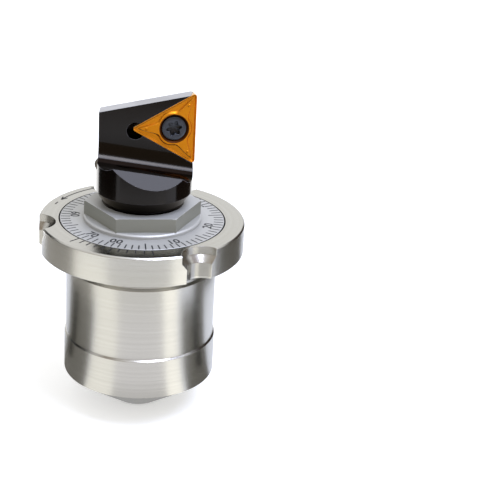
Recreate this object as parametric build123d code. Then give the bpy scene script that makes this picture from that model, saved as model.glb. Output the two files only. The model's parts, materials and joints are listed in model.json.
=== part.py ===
from build123d import *
import os
from math import cos, radians, sqrt, tan

# Fine boring unit: a flanged housing whose graduated nut drives a keyed tool holder along the axis.
# Millimetres. Z is the unit's axis, Z 0 is the face of the flange that seats on the boring bar,
# and X points from the axis to the cutting tip.

# How far a cutter reaches past the surface that it cuts
past = 1.0

# Housing
flange_diameter = 30.5
flange_thickness = 4.6
flange_edge_chamfer = 0.22
shank_diameter = 22.5
shank_neck_diameter = 21.8
shank_neck_length = 2.4
shank_length = 13.7
land_diameter = 23.0
land_length = 6.0
shoulder_depth = 4.6
sleeve_step = 0.35
notch_angles = (-64.0, 60.0, 183.0)
notch_centre_radius = 15.95
notch_head_radius = 3.1
notch_head_depth = 1.2
notch_cone_depth = 1.0
notch_channel_radius = 2.3

# Graduated nut
dial_diameter = 24.5
dial_thickness = 2.2
dial_edge_chamfer = 0.12
dial_clearance = 0.06
boss_diameter = 17.5
boss_height = 0.65
boss_chamfer = 0.2
hexagon_across_flats = 15.0
hexagon_height = 2.1
hexagon_chamfer = 0.25
hexagon_turn = -3.0
hub_diameter = 16.0
hub_length = 6.1
hub_clearance = 0.02
thread_diameter = 11.0
thread_clearance = 0.05
thread_top = 1.6

# Washer and rings round the nut
thrust_washer_thickness = 0.5
washer_hub_gap = 0.2
washer_width = 1.8
face_clearance = 0.02
dial_seal_section = 0.8
wiper_section = 0.9
wiper_height = 5.2
seal_groove_play = 0.06
seal_bottom_gap = 0.02
retainer_thickness = 0.8
retainer_groove_depth = 0.5
retainer_outside = 18.6
retainer_gap_angle = 40.0
retainer_end_play = 0.05

# Tool holder
head_diameter = 14.4
head_tip_height = 23.5
head_top_slope = 10.5
head_top_land = 2.2
head_top_fall = 30.0
head_chamfer_top = 9.4
neck_top = 7.65
neck_diameter = 12.0
neck_clearance = 0.04
neck_length = 5.85
thread_run = 8.2
groove_radius = 3.0
groove_below_tip = 8.05
groove_slope = 9.5
facet_slope = 38.0
lip_depth = 5.1
side_flat_distance = 6.67
side_flat_length = 10.6
side_flat_turn = 10.0
spindle_diameter = 8.0
spindle_clearance = 0.02
keyway_top = -7.0

# Indexable insert and its screw
insert_inscribed_diameter = 6.35
insert_thickness = 2.38
insert_corner_radius = 0.4
insert_flank_angle = 7.0
insert_centre_x = 4.3
insert_below_tip = 5.1
insert_bore = 2.8
insert_countersink = 4.2
countersink_angle = 60.0
breaker_land = 0.25
breaker_corner_radius = 0.2
breaker_depth = 0.16
breaker_slope = 40.0
breaker_island_diameter = 4.9
pocket_clearance = 0.02
pocket_relief_radius = 1.3
pocket_relief_shift = 0.3
pocket_relief_drop = 0.3
insert_screw_diameter = 2.5
insert_screw_length = 5.0
insert_screw_head = 3.7
insert_screw_recess = 0.12
insert_screw_end_gap = 0.2
insert_screw_socket = 2.0
insert_screw_socket_depth = 0.8

# Guide sleeve, key and pin
sleeve_diameter = 19.9
sleeve_top = -6.5
sleeve_guide_length = 4.5
sleeve_length = 9.0
spring_chamber_diameter = 16.6
key_width = 2.5
key_height = 3.0
key_top = -7.3
key_reach = 1.15
key_seat_depth = 3.0
key_side_clearance = 0.03
keyway_floor_clearance = 0.1
pin_diameter = 2.0
pin_depth = 2.4
pin_sink = 0.1
pin_height = -9.0
pin_angle = 90.0

# Disc springs, spring plate and draw screw
disc_count = 8
disc_inside = 8.2
disc_clearance = 0.3
disc_thickness = 0.6
disc_cone_height = 0.28
disc_gap = 0.02
plate_thickness = 1.2
plate_clearance = 0.4
draw_screw_diameter = 4.0
draw_screw_depth = 8.0
draw_screw_end_gap = 0.5
draw_screw_chamfer = 0.3
draw_screw_head = 7.0
draw_screw_head_height = 2.0
draw_screw_socket = 2.5
draw_screw_socket_depth = 1.1

# Rear cap and its seal
cap_cone_length = 5.6
cap_end_diameter = 7.0
cap_edge_round = 0.8
cap_floor = 2.6
cap_pocket_clearance = 0.4
cap_seal_section = 0.8
spanner_hole_diameter = 1.4
spanner_hole_circle = 3.8
spanner_hole_depth = 1.1

# Heights and diameters worked out from the sizes above
flange_top = flange_thickness
recess_floor = flange_top - dial_thickness - thrust_washer_thickness
dial_bottom = flange_top - dial_thickness
seal_height = (flange_top + dial_bottom) / 2
washer_inside = hub_diameter + 2 * washer_hub_gap
washer_outside = washer_inside + 2 * washer_width
boss_top = flange_top + boss_height
hexagon_top = boss_top + hexagon_height
hub_end = -hub_length
shoulder_height = -shoulder_depth
retainer_top = shoulder_height - retainer_end_play
land_top = -shank_length
housing_end = land_top - land_length
cap_end = housing_end - cap_cone_length
cap_seal_height = housing_end + cap_seal_section
guide_end = sleeve_top - sleeve_guide_length
sleeve_end = sleeve_top - sleeve_length
disc_pitch = disc_thickness + disc_cone_height + disc_gap
stack_end = guide_end - disc_count * disc_pitch
plate_end = stack_end - plate_thickness
screw_end = plate_end - draw_screw_head_height
neck_end = neck_top - neck_length
thread_end = neck_end - thread_run
sink_slope = tan(radians(countersink_angle / 2))
top_face_centre = head_tip_height - head_diameter / 2 * tan(radians(head_top_slope))
groove_height = head_tip_height - groove_below_tip
insert_centre_height = head_tip_height - insert_below_tip
disc_outside = spring_chamber_diameter - 2 * disc_clearance
plate_diameter = spring_chamber_diameter - 2 * plate_clearance


def turned(profile, start=0.0, sweep=360.0):
    """A solid turned about Z from (radius, height) points."""
    outline = make_face(Polyline(*[(radius, 0, height) for radius, height in profile], close=True))
    return revolve(outline.rotate(Axis.Z, start), Axis.Z, sweep)


def tube(outside, inside, bottom, top):
    outer = Cylinder(outside / 2, top - bottom)
    inner = Cylinder(inside / 2, top - bottom)
    return Pos(0, 0, (bottom + top) / 2) * (outer - inner)


def band(outside, inside, middle, width):
    """A ring groove's cutter, centred on a height."""
    return tube(outside, inside, middle - width / 2, middle + width / 2)


def rod(diameter, bottom, top):
    return Pos(0, 0, (bottom + top) / 2) * Cylinder(diameter / 2, top - bottom)


def ring(centre_radius, height, section):
    """A round-section ring about Z."""
    circle = Plane.XZ * Pos(centre_radius, height) * Circle(section / 2)
    return revolve(circle, Axis.Z)


def notch_tool():
    """The cutter for one clamping-screw notch: counterbore, cone and channel."""
    cone_top = flange_top - notch_head_depth
    channel_top = cone_top - notch_cone_depth
    cutter = turned([
        (0, flange_top + past),
        (notch_head_radius, flange_top + past),
        (notch_head_radius, cone_top),
        (notch_channel_radius, channel_top),
        (notch_channel_radius, -past),
        (0, -past),
    ])
    return Pos(notch_centre_radius, 0, 0) * cutter


def make_housing():
    flange = flange_diameter / 2
    neck = shank_neck_diameter / 2
    shank = shank_diameter / 2
    land = land_diameter / 2
    recess = dial_diameter / 2 + dial_clearance
    hub_bore = hub_diameter / 2 + hub_clearance
    chamber = sleeve_diameter / 2 - sleeve_step
    sleeve_bore = sleeve_diameter / 2
    body = turned([
        (recess + dial_edge_chamfer, flange_top),
        (flange - flange_edge_chamfer, flange_top),
        (flange, flange_top - flange_edge_chamfer),
        (flange, flange_edge_chamfer),
        (flange - flange_edge_chamfer, 0),
        (neck, 0),
        (neck, -shank_neck_length + (shank - neck)),
        (shank, -shank_neck_length),
        (shank, land_top + (land - shank)),
        (land, land_top),
        (land, housing_end),
        (sleeve_bore, housing_end),
        (sleeve_bore, sleeve_top),
        (chamber, sleeve_top),
        (chamber, shoulder_height),
        (hub_bore, shoulder_height),
        (hub_bore, recess_floor),
        (recess, recess_floor),
        (recess, flange_top - dial_edge_chamfer),
    ])
    for angle in notch_angles:
        body -= notch_tool().rotate(Axis.Z, angle)
    return body - radial_pin(shank + past)


def radial_pin(outer):
    """A radial rod from the sleeve's blind hole out to a radius."""
    inner = sleeve_diameter / 2 - pin_depth
    pin = Cylinder(pin_diameter / 2, outer - inner)
    middle = (outer + inner) / 2
    return (Pos(middle, 0, pin_height) * Rot(0, 90, 0) * pin).rotate(Axis.Z, pin_angle)


def guide_pin():
    """The pin that keeps the sleeve from turning, its outer end just below the shank's surface."""
    return radial_pin(shank_diameter / 2 - pin_sink)


def make_dial_nut():
    dial = dial_diameter / 2
    boss = boss_diameter / 2
    hub = hub_diameter / 2
    neck_bore = neck_diameter / 2 + neck_clearance
    thread_bore = thread_diameter / 2 + thread_clearance
    groove = hub - retainer_groove_depth
    body = turned([
        (0, boss_top),
        (boss - boss_chamfer, boss_top),
        (boss, boss_top - boss_chamfer),
        (boss, flange_top),
        (dial - dial_edge_chamfer, flange_top),
        (dial, flange_top - dial_edge_chamfer),
        (dial, dial_bottom),
        (hub, dial_bottom),
        (hub, retainer_top),
        (groove, retainer_top),
        (groove, retainer_top - retainer_thickness),
        (hub, retainer_top - retainer_thickness),
        (hub, hub_end),
        (0, hub_end),
    ])
    body += hexagon_collar()
    body -= rod(2 * thread_bore, hub_end - past, hexagon_top)
    body -= rod(2 * neck_bore, thread_top, hexagon_top + past)
    seal_width = dial_seal_section + seal_groove_play
    seal_floor = dial + face_clearance - dial_seal_section - seal_bottom_gap
    body -= band(dial_diameter + past, 2 * seal_floor, seal_height, seal_width)
    wiper_width = wiper_section + seal_groove_play
    wiper_floor = neck_bore - face_clearance + wiper_section + seal_bottom_gap
    return body - band(2 * wiper_floor, neck_diameter, wiper_height, wiper_width)


def hexagon_collar():
    """The hexagon that a spanner turns, with its corners chamfered by a cone.

    It is made with a flat towards X, where the cone has its seam, and turned afterwards.
    """
    flats = RegularPolygon(hexagon_across_flats / 2, 6, major_radius=False, rotation=30)
    prism = Pos(0, 0, flange_top) * extrude(flats, boss_height + hexagon_height)
    corner = hexagon_across_flats / 2 / cos(radians(30))
    envelope = turned([
        (0, flange_top),
        (corner + hexagon_chamfer / 2, flange_top),
        (corner + hexagon_chamfer / 2, hexagon_top - hexagon_chamfer / 2),
        (corner - hexagon_chamfer, hexagon_top),
        (0, hexagon_top),
    ])
    seam_turn = 30
    return (prism & envelope).rotate(Axis.Z, hexagon_turn + seam_turn)


def make_retaining_ring():
    """Snap ring in the groove of the nut's hub, with a gap to spring it on."""
    inside = hub_diameter / 2 - retainer_groove_depth
    profile = [
        (inside, retainer_top),
        (retainer_outside / 2, retainer_top),
        (retainer_outside / 2, retainer_top - retainer_thickness),
        (inside, retainer_top - retainer_thickness),
    ]
    return turned(profile, retainer_gap_angle / 2, 360 - retainer_gap_angle)


def triangle(inscribed_diameter, corner_radius):
    """The insert's outline in the XZ plane, with one corner towards -X."""
    outline = RegularPolygon(inscribed_diameter / 2, 3, major_radius=False, rotation=180)
    return fillet(outline.vertices(), corner_radius)


def tapered_prism(grow, corner_radius, depth, taper):
    """A triangular prism that starts on the rake face, the XZ plane, and narrows behind it."""
    outline = triangle(insert_inscribed_diameter + 2 * grow, corner_radius)
    centre = (insert_centre_x, 0, insert_centre_height)
    placed = Plane(origin=centre, x_dir=(1, 0, 0), z_dir=(0, 1, 0)) * outline
    return extrude(placed, depth, dir=(0, 1, 0), taper=taper)


def insert_body(grow, corner_radius):
    return tapered_prism(grow, corner_radius, insert_thickness, insert_flank_angle)


def chip_breaker():
    """The groove inside the insert's edges, round a flat-topped island that carries the screw."""
    groove = tapered_prism(-breaker_land, breaker_corner_radius, breaker_depth, breaker_slope)
    island_top = breaker_island_diameter / 2
    island_foot = island_top + breaker_depth * tan(radians(breaker_slope))
    island = Cone(island_foot, island_top, breaker_depth)
    return groove - at_insert(island, breaker_depth / 2)


def make_insert():
    body = insert_body(0, insert_corner_radius)
    bore = Cylinder(insert_bore / 2, 3 * insert_thickness)
    body -= at_insert(bore, 0)
    sink_depth = (insert_countersink - insert_bore) / 2 / sink_slope
    cone = Cone(insert_bore / 2, insert_countersink / 2, sink_depth)
    return body - at_insert(cone, sink_depth / 2) - chip_breaker()


def at_insert(shape, depth):
    """Place a shape made along Z so that it points out of the rake face, its middle at a depth."""
    return Pos(insert_centre_x, depth, insert_centre_height) * Rot(90, 0, 0) * shape


def make_insert_screw():
    shaft_radius = insert_screw_diameter / 2
    head_radius = insert_screw_head / 2
    sink_radius = insert_countersink / 2
    rim_end = (sink_radius - head_radius) / sink_slope
    taper_end = (sink_radius - shaft_radius) / sink_slope
    profile = [
        (0, -insert_screw_recess),
        (head_radius, -insert_screw_recess),
        (head_radius, -rim_end),
        (shaft_radius, -taper_end),
        (shaft_radius, -insert_screw_length),
        (0, -insert_screw_length),
    ]
    screw = turned(profile)
    socket_top = -insert_screw_recess
    socket = Cylinder(insert_screw_socket / 2, insert_screw_socket_depth)
    screw -= Pos(0, 0, socket_top - insert_screw_socket_depth / 2) * socket
    return at_insert(screw, 0)


def pocket():
    """The insert's seat: open to the front and past the free edge, with a relief hole at the inner corner."""
    seat = insert_body(pocket_clearance, insert_corner_radius)
    reach = head_diameter / 2
    front = Pos(0, -reach, 0) * tapered_prism(pocket_clearance, insert_corner_radius, reach, 0)
    relief_x = insert_centre_x - insert_inscribed_diameter + insert_corner_radius + pocket_relief_shift
    relief_z = insert_centre_height - pocket_relief_drop
    relief = Cylinder(pocket_relief_radius, insert_thickness)
    relief_place = Pos(relief_x, insert_thickness / 2, relief_z) * Rot(90, 0, 0)
    hole_depth = insert_screw_length + insert_screw_end_gap
    screw_hole = Cylinder(insert_screw_diameter / 2, hole_depth)
    return seat + front + relief_place * relief + at_insert(screw_hole, hole_depth / 2)


def head_cutters():
    """What is milled off the head: sloping top with a fall behind it, rake face, groove, facet and side flat."""
    size = 2 * head_diameter
    top = Pos(0, 0, top_face_centre) * Rot(0, -head_top_slope, 0)
    top_cut = top * Pos(0, 0, size / 2) * Box(size, size, size)
    back = top * Pos(0, head_top_land, 0) * Rot(-head_top_fall, 0, 0)
    back_cut = back * Pos(0, 0, size / 2) * Box(size, size, size)
    along = Pos(0, 0, groove_height) * Rot(0, groove_slope, 0)
    rake_cut = along * Pos(0, -size / 2, size / 2) * Box(size, size, size)
    groove_cut = along * Pos(0, -groove_radius, 0) * Rot(0, 90, 0) * Cylinder(groove_radius, size)
    lip_drop = sqrt(groove_radius ** 2 - (lip_depth - groove_radius) ** 2)
    lip = along * Pos(0, -lip_depth, -lip_drop)
    past_lip = groove_radius / 2
    facet_cut = lip * Rot(facet_slope, 0, 0) * Pos(0, past_lip - size / 2, size / 2) * Box(size, size, size)
    side = Pos(-side_flat_distance, 0, head_tip_height - side_flat_length) * Rot(0, 0, -side_flat_turn)
    side_cut = side * Pos(-size / 2, 0, size / 2) * Box(size, size, size)
    return [top_cut, back_cut, rake_cut, groove_cut, facet_cut, side_cut]


def make_tool_holder():
    head = head_diameter / 2
    neck = neck_diameter / 2
    thread = thread_diameter / 2
    spindle = spindle_diameter / 2
    body = turned([
        (0, head_tip_height + past),
        (head, head_tip_height + past),
        (head, head_chamfer_top),
        (neck, neck_top),
        (neck, neck_end),
        (thread, neck_end),
        (thread, thread_end),
        (spindle, thread_end),
        (spindle, stack_end),
        (0, stack_end),
    ])
    for cutter in head_cutters():
        body -= cutter
    body -= pocket()
    body -= rod(draw_screw_diameter, stack_end - past, stack_end + draw_screw_depth)
    keyway_width = key_width + 2 * key_side_clearance
    keyway_depth = key_reach + keyway_floor_clearance
    keyway_length = keyway_top - stack_end + past
    keyway = Box(2 * keyway_depth, keyway_width, keyway_length)
    return body - Pos(-spindle, 0, keyway_top - keyway_length / 2) * keyway


def guide_key():
    """The key that stops the holder turning, seated in the sleeve and reaching into the keyway."""
    spindle = spindle_diameter / 2
    inner = spindle - key_reach
    length = key_reach + key_seat_depth
    return Pos(-inner - length / 2, 0, key_top - key_height / 2) * Box(length, key_width, key_height)


def make_guide_sleeve():
    sleeve = sleeve_diameter / 2
    guide = spindle_diameter / 2 + spindle_clearance
    chamber = spring_chamber_diameter / 2
    body = turned([
        (guide, sleeve_top),
        (sleeve, sleeve_top),
        (sleeve, sleeve_end),
        (chamber, sleeve_end),
        (chamber, guide_end),
        (guide, guide_end),
    ])
    return body - guide_key() - guide_pin()


def make_disc_springs():
    """A stack of conical discs, turned alternately so that they meet rim to rim and bore to bore."""
    inner = disc_inside / 2
    outer = disc_outside / 2
    discs = []
    for number in range(disc_count):
        top = guide_end - number * disc_pitch - disc_gap / 2
        rim_drop = disc_cone_height if number % 2 == 0 else 0
        bore_drop = disc_cone_height - rim_drop
        discs.append(turned([
            (inner, top - bore_drop),
            (outer, top - rim_drop),
            (outer, top - rim_drop - disc_thickness),
            (inner, top - bore_drop - disc_thickness),
        ]))
    return Compound(children=discs)


def make_draw_screw():
    radius = draw_screw_diameter / 2
    head = draw_screw_head / 2
    chamfer = draw_screw_chamfer
    thread_tip = stack_end + draw_screw_depth - draw_screw_end_gap
    body = turned([
        (0, thread_tip),
        (radius - chamfer, thread_tip),
        (radius, thread_tip - chamfer),
        (radius, plate_end),
        (head, plate_end),
        (head, screw_end + chamfer),
        (head - chamfer, screw_end),
        (0, screw_end),
    ])
    socket = extrude(RegularPolygon(draw_screw_socket / 2, 6, major_radius=False), draw_screw_socket_depth)
    return body - Pos(0, 0, screw_end) * socket


def make_rear_cap():
    land = land_diameter / 2
    spigot = sleeve_diameter / 2
    chamber = spring_chamber_diameter / 2
    end = cap_end_diameter / 2
    pocket_radius = draw_screw_head / 2 + cap_pocket_clearance
    chamber_end = plate_end - cap_pocket_clearance
    floor = cap_end + cap_floor
    body = turned([
        (chamber, sleeve_end),
        (spigot, sleeve_end),
        (spigot, housing_end),
        (land, housing_end),
        (end, cap_end),
        (0, cap_end),
        (0, floor),
        (pocket_radius, floor),
        (pocket_radius, chamber_end),
        (chamber, chamber_end),
    ])
    end_edge = body.edges().filter_by(GeomType.CIRCLE).sort_by(Axis.Z)[0]
    body = fillet(end_edge, cap_edge_round)
    seal_width = cap_seal_section + seal_groove_play
    seal_floor = spigot - cap_seal_section - seal_bottom_gap
    body -= band(2 * spigot + past, 2 * seal_floor, cap_seal_height, seal_width)
    for side in (-1, 1):
        hole = Pos(side * spanner_hole_circle / 2, 0, cap_end + spanner_hole_depth / 2)
        body -= hole * Cylinder(spanner_hole_diameter / 2, spanner_hole_depth)
    return body


def cap_seal():
    """O-ring in its groove at the root of the spigot."""
    centre = sleeve_diameter / 2 - cap_seal_section / 2
    return ring(centre, cap_seal_height, cap_seal_section)


def make_thrust_washer():
    return tube(washer_outside, washer_inside, recess_floor, dial_bottom - face_clearance)


def make_dial_seal():
    centre = dial_diameter / 2 - dial_seal_section / 2 + face_clearance
    return ring(centre, seal_height, dial_seal_section)


def make_neck_wiper():
    centre = neck_diameter / 2 + neck_clearance + wiper_section / 2 - face_clearance
    return ring(centre, wiper_height, wiper_section)


def make_spring_plate():
    return tube(plate_diameter, draw_screw_diameter, plate_end, stack_end)


pieces = {
    "housing": make_housing(),
    "dial_nut": make_dial_nut(),
    "dial_seal_ring": make_dial_seal(),
    "neck_wiper_ring": make_neck_wiper(),
    "thrust_washer": make_thrust_washer(),
    "retaining_ring": make_retaining_ring(),
    "tool_holder": make_tool_holder(),
    "insert": make_insert(),
    "insert_screw": make_insert_screw(),
    "guide_sleeve": make_guide_sleeve(),
    "guide_key": guide_key(),
    "sleeve_pin": guide_pin(),
    "disc_springs": make_disc_springs(),
    "spring_plate": make_spring_plate(),
    "draw_screw": make_draw_screw(),
    "rear_cap": make_rear_cap(),
    "cap_seal_ring": cap_seal(),
}

os.makedirs("parts", exist_ok=True)
for name, shape in pieces.items():
    export_step(shape, f"parts/{name}.step")
    print(name, len(shape.solids()), round(shape.volume, 2))
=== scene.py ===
import bpy
import bmesh
import json
from math import cos, pi, radians, sin, sqrt, tan
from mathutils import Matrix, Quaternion, Vector


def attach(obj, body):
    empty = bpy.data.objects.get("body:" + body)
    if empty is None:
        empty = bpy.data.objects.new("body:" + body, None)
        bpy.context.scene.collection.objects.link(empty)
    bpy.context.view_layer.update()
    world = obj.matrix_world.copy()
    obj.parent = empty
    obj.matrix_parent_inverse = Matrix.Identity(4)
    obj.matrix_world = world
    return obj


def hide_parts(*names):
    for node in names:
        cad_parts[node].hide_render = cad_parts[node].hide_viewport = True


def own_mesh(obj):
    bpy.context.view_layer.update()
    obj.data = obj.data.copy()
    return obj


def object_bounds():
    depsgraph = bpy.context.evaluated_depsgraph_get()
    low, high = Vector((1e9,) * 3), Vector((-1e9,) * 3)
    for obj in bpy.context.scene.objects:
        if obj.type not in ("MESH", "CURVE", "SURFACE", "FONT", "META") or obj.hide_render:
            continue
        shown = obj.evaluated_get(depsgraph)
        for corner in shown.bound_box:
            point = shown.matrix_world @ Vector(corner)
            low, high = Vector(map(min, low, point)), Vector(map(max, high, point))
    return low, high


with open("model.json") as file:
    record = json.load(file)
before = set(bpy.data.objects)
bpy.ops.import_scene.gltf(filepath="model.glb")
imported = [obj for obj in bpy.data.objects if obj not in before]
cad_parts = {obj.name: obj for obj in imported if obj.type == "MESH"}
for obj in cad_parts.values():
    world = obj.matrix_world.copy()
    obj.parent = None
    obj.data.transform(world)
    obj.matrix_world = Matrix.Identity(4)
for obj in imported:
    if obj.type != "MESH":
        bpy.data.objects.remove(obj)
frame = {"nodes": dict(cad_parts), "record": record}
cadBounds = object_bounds()
mm = 0.001


# Camera: where it stands, what it looks at, and how far it leans
shot = {
    "place": (-22.582, -182.165, 79.012),
    "aim": (16.0975, -2.5484, 0.008),
    "lean": 3.54,
    "lens": 95.431,
    "sensor": 36.0,
    "near": 1,
    "far": 5000,
}


def setUpCamera():
    camera = bpy.data.objects.new("camera", bpy.data.cameras.new("camera"))
    bpy.context.collection.objects.link(camera)
    camera.data.lens = shot["lens"]
    camera.data.sensor_width = shot["sensor"]
    camera.data.clip_start = shot["near"] * mm
    camera.data.clip_end = shot["far"] * mm
    place = Vector(shot["place"]) * mm
    aim = Vector(shot["aim"]) * mm
    camera.rotation_mode = "QUATERNION"
    camera.location = place
    level = (aim - place).to_track_quat("-Z", "Y")
    camera.rotation_quaternion = level @ Quaternion((0, 0, 1), radians(shot["lean"]))
    bpy.context.scene.camera = camera


setUpCamera()
print("camera set")


# Small helpers for node trees
def link(tree, out, into):
    tree.links.new(out, into)


def addNode(tree, kind, inputs=None, **settings):
    node = tree.nodes.new(kind)
    for key, value in settings.items():
        setattr(node, key, value)
    for key, value in (inputs or {}).items():
        if hasattr(value, "is_output"):
            link(tree, value, node.inputs[key])
        else:
            node.inputs[key].default_value = value
    return node


def newGroup(name, inputs, outputs):
    tree = bpy.data.node_groups.new(name, "ShaderNodeTree")
    for label, value in inputs.items():
        socketShade = tree.interface.new_socket(name=label, in_out="INPUT", socket_type="NodeSocketFloat")
        socketShade.default_value = value
    for label in outputs:
        tree.interface.new_socket(name=label, in_out="OUTPUT", socket_type="NodeSocketFloat")
    return tree, tree.nodes.new("NodeGroupInput"), tree.nodes.new("NodeGroupOutput")


def useGroup(tree, group, **values):
    node = tree.nodes.new("ShaderNodeGroup")
    node.node_tree = group
    for key, value in values.items():
        node.inputs[key].default_value = value
    return node


def calc(tree, operation, first, second=None, third=None, clamp=False):
    node = tree.nodes.new("ShaderNodeMath")
    node.operation = operation
    node.use_clamp = clamp
    for slot, value in enumerate((first, second, third)):
        if value is None:
            continue
        if hasattr(value, "is_output"):
            link(tree, value, node.inputs[slot])
        else:
            node.inputs[slot].default_value = value
    return node.outputs[0]


def blendColours(tree, factor, first, second):
    node = tree.nodes.new("ShaderNodeMix")
    node.data_type = "RGBA"
    for slot, value in ((0, factor), (6, first), (7, second)):
        if hasattr(value, "is_output"):
            link(tree, value, node.inputs[slot])
        elif slot == 0:
            node.inputs[0].default_value = value
        else:
            node.inputs[slot].default_value = (*value, 1)
    return node.outputs[2]


def addNoise(tree, place, size, detail, roughness=0.5, distortion=0.0):
    values = {"Vector": place, "Scale": size, "Detail": detail, "Roughness": roughness,
              "Distortion": distortion}
    return addNode(tree, "ShaderNodeTexNoise", values).outputs[0]


def addLineNoise(tree, along, detail):
    values = {"W": along, "Scale": 1.0, "Detail": detail}
    return addNode(tree, "ShaderNodeTexNoise", values, noise_dimensions="1D").outputs[0]


def splitVector(tree, vector):
    return addNode(tree, "ShaderNodeSeparateXYZ", {"Vector": vector}).outputs


def axisRadius(tree, parts):
    first = calc(tree, "MULTIPLY", parts[0], parts[0])
    second = calc(tree, "MULTIPLY", parts[1], parts[1])
    return calc(tree, "SQRT", calc(tree, "ADD", first, second))


# Lathe marks: fine and coarse rings about the unit's axis, across it on end faces and along it on round ones
markLook = {"endFacing": 0.6, "fineDetail": 2.0, "coarseDetail": 3.0, "fineShare": 0.4, "coarseShare": 0.6}


def makeLatheMarks():
    look = markLook
    tree, inn, out = newGroup("latheMarks", {"Pitch": 0.00007, "Coarse": 6.0}, ["Height", "Tone", "EndFace"])
    place = addNode(tree, "ShaderNodeTexCoord")
    parts = splitVector(tree, place.outputs["Object"])
    facing = splitVector(tree, place.outputs["Normal"])
    radius = axisRadius(tree, parts)
    endFace = calc(tree, "GREATER_THAN", calc(tree, "ABSOLUTE", facing[2]), look["endFacing"])
    along = calc(tree, "MULTIPLY", parts[2], calc(tree, "SUBTRACT", 1.0, endFace))
    across = calc(tree, "MULTIPLY", radius, endFace)
    turns = calc(tree, "DIVIDE", calc(tree, "ADD", along, across), inn.outputs["Pitch"])
    fine = addLineNoise(tree, turns, look["fineDetail"])
    coarse = addLineNoise(tree, calc(tree, "DIVIDE", turns, inn.outputs["Coarse"]), look["coarseDetail"])
    fineHeight = calc(tree, "MULTIPLY", fine, look["fineShare"])
    height = calc(tree, "MULTIPLY_ADD", coarse, look["coarseShare"], fineHeight)
    link(tree, height, out.inputs["Height"])
    link(tree, coarse, out.inputs["Tone"])
    link(tree, endFace, out.inputs["EndFace"])
    return tree


# Handling: soft smudges and faint wipe marks that change the gloss
handlingLook = {
    "cloudDetail": 4.0, "cloudRoughness": 0.6, "cloudDistortion": 0.4, "wipeDetail": 3.0, "wipeStretch": 9.0,
}


def makeHandling():
    look = handlingLook
    tree, inn, out = newGroup("handling", {"Size": 900.0, "Streaks": 0.35}, ["Smudge"])
    place = addNode(tree, "ShaderNodeTexCoord").outputs["Object"]
    cloud = addNoise(tree, place, inn.outputs["Size"], look["cloudDetail"], look["cloudRoughness"],
                     look["cloudDistortion"])
    squeezed = addNode(tree, "ShaderNodeMapping", {"Vector": place, "Scale": (1.0, 1.0, look["wipeStretch"])})
    wipe = addNoise(tree, squeezed.outputs[0], inn.outputs["Size"], look["wipeDetail"])
    clouded = calc(tree, "MULTIPLY", cloud, calc(tree, "SUBTRACT", 1.0, inn.outputs["Streaks"]))
    mixed = calc(tree, "MULTIPLY_ADD", wipe, inn.outputs["Streaks"], clouded)
    link(tree, mixed, out.inputs["Smudge"])
    return tree


# Edge wear and painted highlight: where a rounded edge's normal leaves the face's own, broken up by noise
wearAndHighlightLook = {"sharpness": 6.0, "detail": 3.0, "spread": 1.4, "start": -0.2}
bevelSamples = 6


def makeEdgeWearAndHighlight():
    look = wearAndHighlightLook
    tree, inn, out = newGroup("edgeWearAndHighlight", {"Radius": 0.00012, "Breakup": 2500.0}, ["Edge"])
    place = addNode(tree, "ShaderNodeTexCoord").outputs["Object"]
    flat = addNode(tree, "ShaderNodeNewGeometry")
    rounded = addNode(tree, "ShaderNodeBevel", {"Radius": inn.outputs["Radius"]}, samples=bevelSamples)
    agree = addNode(tree, "ShaderNodeVectorMath", {0: rounded.outputs[0], 1: flat.outputs["Normal"]},
                    operation="DOT_PRODUCT")
    apart = calc(tree, "SUBTRACT", 1.0, agree.outputs["Value"])
    edge = calc(tree, "MULTIPLY", apart, look["sharpness"], clamp=True)
    noise = addNoise(tree, place, inn.outputs["Breakup"], look["detail"])
    broken = calc(tree, "MULTIPLY_ADD", noise, look["spread"], look["start"], clamp=True)
    link(tree, calc(tree, "MULTIPLY", edge, broken, clamp=True), out.inputs["Edge"])
    return tree


# Grain: fine pits of blackened, blued, sintered or moulded surfaces
grainLook = {"detail": 5.0, "roughness": 0.7}


def makeGrain():
    tree, inn, out = newGroup("grain", {"Size": 9000.0}, ["Height"])
    place = addNode(tree, "ShaderNodeTexCoord").outputs["Object"]
    pits = addNoise(tree, place, inn.outputs["Size"], grainLook["detail"], grainLook["roughness"])
    link(tree, pits, out.inputs["Height"])
    return tree


# Band of painted shade: a ring between two radii, above a height, as in the gap round the dial
def makeBandShade():
    tree, inn, out = newGroup("bandShade", {"Inner": 0.0, "Outer": 0.0, "Above": 0.0}, ["Mask"])
    place = addNode(tree, "ShaderNodeTexCoord").outputs["Object"]
    parts = splitVector(tree, place)
    radius = axisRadius(tree, parts)
    beyond = calc(tree, "GREATER_THAN", radius, inn.outputs["Inner"])
    within = calc(tree, "LESS_THAN", radius, inn.outputs["Outer"])
    above = calc(tree, "GREATER_THAN", parts[2], inn.outputs["Above"])
    both = calc(tree, "MULTIPLY", beyond, within)
    link(tree, calc(tree, "MULTIPLY", both, above), out.inputs["Mask"])
    return tree


# Hollow shade: how closed in a spot is, for dull corners and notches, by its own piece alone or by all pieces
hollowSamples = 8


def makeHollows(name, alone):
    tree, inn, out = newGroup(name, {"Reach": 0.0015, "Depth": 0.8}, ["Shade"])
    openness = addNode(tree, "ShaderNodeAmbientOcclusion", {"Distance": inn.outputs["Reach"]},
                       samples=hollowSamples, only_local=alone)
    closed = calc(tree, "SUBTRACT", 1.0, openness.outputs["AO"])
    link(tree, calc(tree, "MULTIPLY", closed, inn.outputs["Depth"], clamp=True), out.inputs["Shade"])
    return tree


latheMarks = makeLatheMarks()
handling = makeHandling()
edgeWearAndHighlight = makeEdgeWearAndHighlight()
grain = makeGrain()
bandShade = makeBandShade()
ownHollows = makeHollows("ownHollows", True)
hollows = makeHollows("hollows", False)


def startMaterial(name):
    material = bpy.data.materials.new(name)
    material.use_nodes = True
    tree = material.node_tree
    shader = tree.nodes["Principled BSDF"]
    return material, tree, shader


def setShader(shader, **values):
    for key, value in values.items():
        shader.inputs[key.replace("_", " ")].default_value = value


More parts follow.
